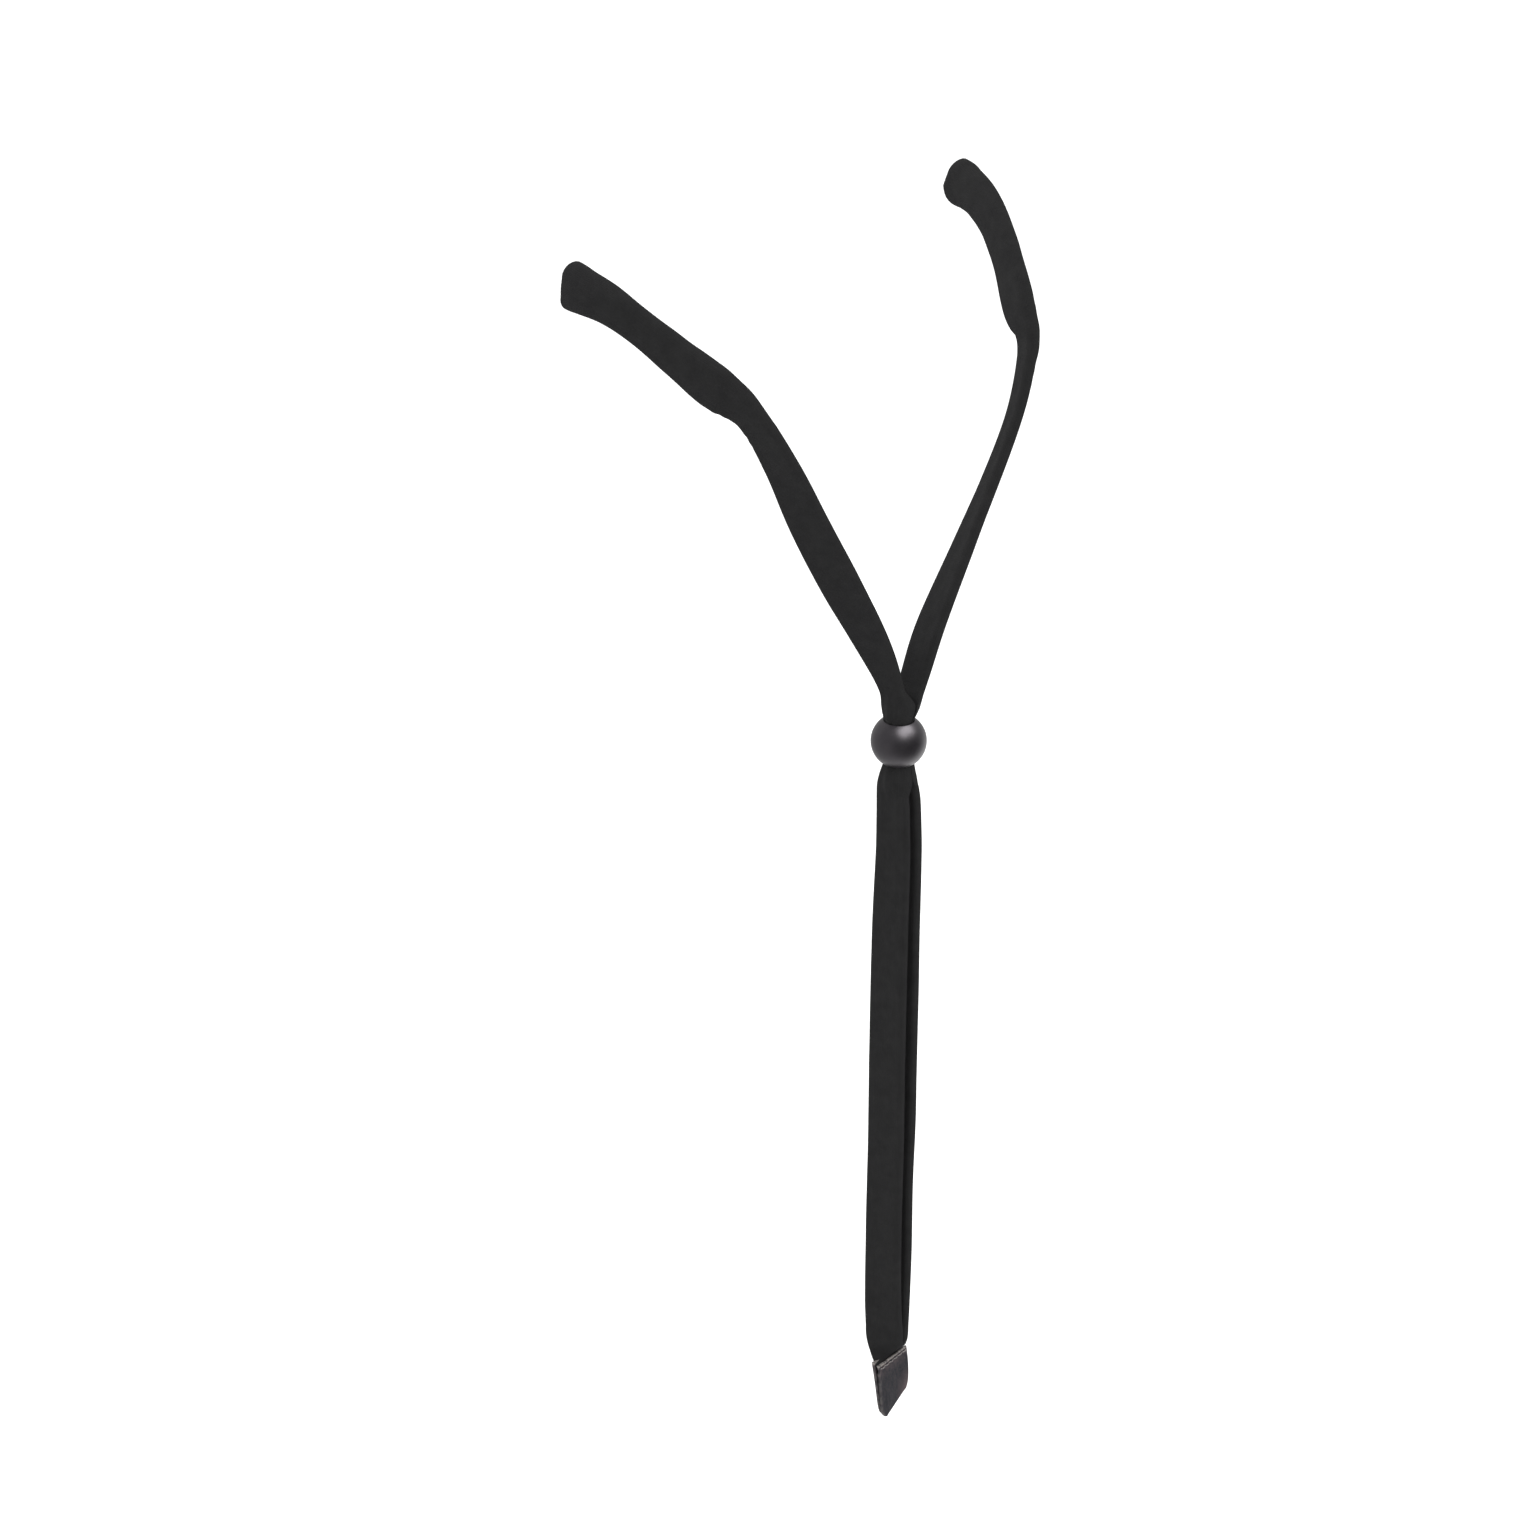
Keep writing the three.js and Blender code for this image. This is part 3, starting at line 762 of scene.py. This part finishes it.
# ---- bead ----
def bead():
    radius, bore = BEAD_DIAMETER / 2, BEAD_BORE / 2
    # The rounding at each end of the bore touches the ball from inside, and the bore's wall.
    rim_reach = bore + BEAD_RIM
    rim_height = math.sqrt((radius - BEAD_RIM) ** 2 - rim_reach ** 2)
    start = math.atan2(rim_height, rim_reach)
    rim = [(rim_reach - BEAD_RIM * math.cos(a), rim_height + BEAD_RIM * math.sin(a))
           for a in np.linspace(0, math.pi - start, BEAD_RIM_STEPS)[1:-1]]
    profile = [(bore, z) for z in np.linspace(-rim_height, rim_height, BEAD_BORE_STEPS)]
    profile += rim
    profile += [(radius * math.cos(a), radius * math.sin(a)) for a in np.linspace(start, -start, BEAD_STEPS)]
    profile += [(r, -z) for r, z in reversed(rim)]
    turn = np.linspace(0, 2 * math.pi, BEAD_SEGMENTS, endpoint=False)
    verts, faces = [], []
    for r, z in profile:
        verts += [(r * math.cos(a) * MM, (TAIL_Y + r * math.sin(a)) * MM, (BEAD_Z + z) * MM) for a in turn]
    for i in range(len(profile)):
        j = (i + 1) % len(profile)
        for m in range(BEAD_SEGMENTS):
            n = (m + 1) % BEAD_SEGMENTS
            faces.append((i * BEAD_SEGMENTS + m, j * BEAD_SEGMENTS + m,
                          j * BEAD_SEGMENTS + n, i * BEAD_SEGMENTS + n))
    mesh = bpy.data.meshes.new("bead_ball")
    mesh.from_pydata(verts, [], faces)
    mesh.polygons.foreach_set("use_smooth", [True] * len(faces))
    piece = bpy.data.objects.new("bead_ball", mesh)
    bpy.context.scene.collection.objects.link(piece)
    finish_piece(piece, bead_material(), "bead", "slider_bead")
    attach(piece, "bead")


bead()


# ---- label ----
def label_axes():
    """Out of the front leaf, up, and along the width from the far side; and the far top corner."""
    front = Vector(horizontal(LABEL_FACE))
    up = Vector((0, 0, 1))
    along = front.cross(up)
    return front, up, along, LABEL_TOP - along * (LABEL_WIDTH / 2)


def on_label(x, y, z):
    """A point of the label: x off the middle towards the front, y up, z along the width."""
    front, up, along, corner = label_axes()
    depth, nearness = -y / LABEL_HEIGHT, z / LABEL_WIDTH
    height = depth * (LABEL_HEIGHT + LABEL_DROP - (1 - nearness) * LABEL_SLANT)
    far = LABEL_FAR_CORNER * depth ** FAR_CORNER_CURVE - LABEL_REACH
    far -= LABEL_BELLY * math.sin(math.pi / 2 * min(1, depth / BELLY_DEPTH))
    near = LABEL_WIDTH - LABEL_DRAW_IN * (1 - (1 - depth) ** 2) - LABEL_CORNER * depth ** CORNER_CURVE
    if x < 0:
        height -= LABEL_BACK_RISE * nearness ** 2 * (1 - depth) ** 3
        near += LABEL_BACK_REACH * max(0, 1 - depth) ** 1.5
    width = far * (1 - nearness) + near * nearness
    inner_face = abs(x) < LABEL_THICKNESS / 2 - LABEL_LEAF * 0.75
    if inner_face:
        x *= 1 - LABEL_HEM * max(0, nearness) ** HEM_CURVE
    return (corner + front * x - up * height + along * width) * MM


def leaf_line(share):
    """How far a leaf's middle is from the label's, from the open edge (0) to the fold (1)."""
    top, bottom = LABEL_THICKNESS / 2 - LABEL_LEAF / 2, LABEL_FOLD - LABEL_LEAF / 2
    return top - (top - bottom) * share + LABEL_BULGE * math.sin(math.pi * share)


def label():
    bend = LABEL_FOLD - LABEL_LEAF / 2
    straight = LABEL_HEIGHT - LABEL_FOLD
    down = np.linspace(0, 1, LABEL_STEPS)
    line = [(-leaf_line(t), -straight * t) for t in down]
    line += [(-bend * math.cos(a), -straight - bend * math.sin(a))
             for a in np.linspace(0, math.pi, FOLD_STEPS)[1:-1]]
    line += [(leaf_line(t), -straight * t) for t in down[::-1]]
    line = np.array(line)
    slope = unit(np.gradient(line, axis=0))
    normal = np.stack([slope[:, 1], -slope[:, 0]], -1)
    lengths = np.concatenate([[0], np.cumsum(np.linalg.norm(np.diff(line, axis=0), axis=1))])
    columns = np.linspace(0, LABEL_WIDTH, LABEL_STEPS)
    total = lengths[-1]
    grids = []
    for side in (1, -1):
        grid = np.zeros((len(line), len(columns), 3))
        for c, z in enumerate(columns):
            to_edge = min(z, LABEL_WIDTH - z)
            selvedge = SELVEDGE * bell(to_edge, SELVEDGE_INSET, SELVEDGE_REACH)
            half_leaf = LABEL_LEAF / 2 * min(1.0, EDGE_THINNING + to_edge / EDGE_REACH)
            ripple = RIPPLE * math.sin(z * 0.75 + 0.4)
            for r, (x, y) in enumerate(line):
                away_from_fold = 1 - bell(lengths[r], total / 2, 2.2)
                wave = ripple * math.sin(math.pi * lengths[r] / total) * away_from_fold
                offset = side * (half_leaf + selvedge)
                grid[r, c] = on_label(x + normal[r, 0] * (offset + wave), y + normal[r, 1] * offset, z)
        grids.append(grid)
    rows, count = len(line), len(columns)
    verts = [tuple(p) for grid in grids for p in grid.reshape(-1, 3)]
    index = np.arange(2 * rows * count).reshape(2, rows, count)
    faces, uvs = [], []

    def quad(*corners):
        faces.append(tuple(int(index[k]) for k in corners))
        for _, r, c in corners:
            uvs.append((columns[c], lengths[r]))

    for r in range(rows - 1):
        for c in range(count - 1):
            quad((0, r, c), (0, r, c + 1), (0, r + 1, c + 1), (0, r + 1, c))
            quad((1, r, c), (1, r + 1, c), (1, r + 1, c + 1), (1, r, c + 1))
        for c, first, second in ((0, 1, 0), (count - 1, 0, 1)):
            quad((first, r, c), (second, r, c), (second, r + 1, c), (first, r + 1, c))
    for c in range(count - 1):
        for r, first, second in ((0, 0, 1), (rows - 1, 1, 0)):
            quad((first, r, c), (second, r, c), (second, r, c + 1), (first, r, c + 1))
    mesh = bpy.data.meshes.new("label_weave")
    mesh.from_pydata(verts, [], faces)
    layer = mesh.uv_layers.new(name="cloth")
    layer.data.foreach_set("uv", np.asarray(uvs, np.float32).ravel())
    mesh.polygons.foreach_set("use_smooth", [True] * len(faces))
    mesh.validate()
    piece = bpy.data.objects.new("label_weave", mesh)
    bpy.context.scene.collection.objects.link(piece)
    finish_piece(piece, label_material(total), "label", "label")
    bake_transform(piece)


def stitch_thread(name, leaf, made):
    """One of the lockstitch's threads, which dips into the leaf between its stitches."""
    pitch = (LABEL_WIDTH - 2 * STITCH_MARGIN) / STITCHES
    surface = leaf_line(STITCH_DROP / (LABEL_HEIGHT - LABEL_FOLD)) + LABEL_LEAF / 2
    t = np.linspace(0, STITCHES, 16 * STITCHES + 1)
    rise = np.abs(np.sin(math.pi * t)) ** 0.8 * 0.5 - 0.2
    centres = [Vector(on_label(leaf * (surface + h), -STITCH_DROP, STITCH_MARGIN + pitch * k))
               for k, h in zip(t, rise)]
    centres = np.array([tuple(c / MM) for c in centres])
    tangent = unit(np.gradient(centres, axis=0))
    up = unit(np.cross(tangent, np.array(label_axes()[0])))
    out = np.cross(up, tangent)
    angle = np.linspace(0, 2 * math.pi, 12, endpoint=False)
    rings = centres[:, None] + THREAD_RADIUS * (
        out[:, None] * np.cos(angle)[None, :, None] + up[:, None] * np.sin(angle)[None, :, None])
    piece = lofted(name, rings, np.arange(13) / 12, t * pitch)
    finish_piece(piece, made, "thread", name.replace("_ply", "_thread"))
    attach(piece, "strap_end")


label()
THREAD = thread_material()
stitch_thread("label_needle_ply", 1, THREAD)
stitch_thread("label_bobbin_ply", -1, THREAD)


# ---- floor and light ----
AMBIENT = 1.12                 # the light on matt surfaces, from all sides
KEY_SIDE = Vector((0.77, -0.10, 0.63))
KEY_GLOW = 0.6                 # how much brighter it is from the key side
RIM_SIDE = Vector((0.42, -0.35, -0.84))
RIM_EVEN = 0.66                # what glossy surfaces see around the dark screen
RIM_GLOW = 1.6                 # how much brighter that is on the rim side
SCREEN_AZIMUTH = 6.0           # the dark screen's middle, in degrees
SCREEN_ELEVATION = -3.0
SCREEN_GLOW = 0.03
SCREEN_EDGE = (0.20, 0.80)     # how far a direction faces the screen where it fades in, and where it's full
SOFTBOX_SIDE = Vector((0.135, -0.525, 0.840))
BACK_SIDE = Vector((-0.433, 0.750, 0.500))
FLOOR_SIZE = 6.0               # metres, from the middle
FLOOR_HEIGHT = -0.52


def make_floor():
    mesh = bpy.data.meshes.new("floor")
    ways = ((-1, -1), (1, -1), (1, 1), (-1, 1))
    corners = [(x * FLOOR_SIZE, y * FLOOR_SIZE, FLOOR_HEIGHT) for x, y in ways]
    mesh.from_pydata(corners, [], [(0, 1, 2, 3)])
    mesh.materials.append(floor_material())
    floor = bpy.data.objects.new("floor", mesh)
    bpy.context.scene.collection.objects.link(floor)
    floor.visible_glossy = False   # so that the world alone shows in the bead


def make_light(name, towards, distance, width, height, power, highlights):
    """A soft light that faces the bead from that direction; it makes highlights, or only shades."""
    data = bpy.data.lights.new(name, "AREA")
    data.shape = "RECTANGLE"
    data.size = width
    data.size_y = height
    data.energy = power
    light = bpy.data.objects.new(name, data)
    aim = Vector((0, TAIL_Y, BEAD_Z)) * MM
    light.location = aim + towards.normalized() * distance
    light.rotation_mode = "QUATERNION"
    light.rotation_quaternion = (-towards).to_track_quat("-Z", "Y")
    light.visible_diffuse = not highlights
    light.visible_glossy = highlights
    light.visible_camera = False
    bpy.context.scene.collection.objects.link(light)


def make_world():
    """A white studio, brighter up on the right; glossy surfaces see a dark screen in it as well."""
    world = bpy.data.worlds.new("studio")
    world.use_nodes = True
    tree = world.node_tree
    background = tree.nodes["Background"]
    towards = node(tree, "ShaderNodeTexCoord").outputs["Generated"]

    def facing(way):
        made = node(tree, "ShaderNodeVectorMath", {0: towards, 1: way}, operation="DOT_PRODUCT")
        return made.outputs["Value"]

    even = maths(tree, "MULTIPLY_ADD", facing(KEY_SIDE), KEY_GLOW, AMBIENT)
    screen_side = direction(SCREEN_AZIMUTH, SCREEN_ELEVATION)
    beside_screen = rescale(tree, facing(screen_side), *SCREEN_EDGE, 1.0, 0.0)
    low = maths(tree, "MAXIMUM", facing(RIM_SIDE), 0.0)
    around = maths(tree, "MULTIPLY_ADD", maths(tree, "MULTIPLY", low, low), RIM_GLOW, RIM_EVEN)
    brighter = maths(tree, "SUBTRACT", around, SCREEN_GLOW)
    shown = maths(tree, "MULTIPLY_ADD", beside_screen, brighter, SCREEN_GLOW)
    rays = node(tree, "ShaderNodeLightPath")
    lit = maths(tree, "MAXIMUM", even, rays.outputs["Is Camera Ray"])
    glossy = rays.outputs["Is Glossy Ray"]
    strength = maths(tree, "MULTIPLY_ADD", glossy, maths(tree, "SUBTRACT", shown, lit), lit)
    background.inputs["Color"].default_value = (1, 1, 1, 1)
    tree.links.new(strength, background.inputs["Strength"])
    bpy.context.scene.world = world


make_floor()
make_world()
make_light("overhead_softbox", SOFTBOX_SIDE, distance=0.9, width=1.05, height=0.62, power=19.0,
           highlights=True)
make_light("back_key", BACK_SIDE, distance=1.2, width=0.8, height=0.8, power=9.0, highlights=False)
bpy.context.scene.view_settings.view_transform = "Standard"
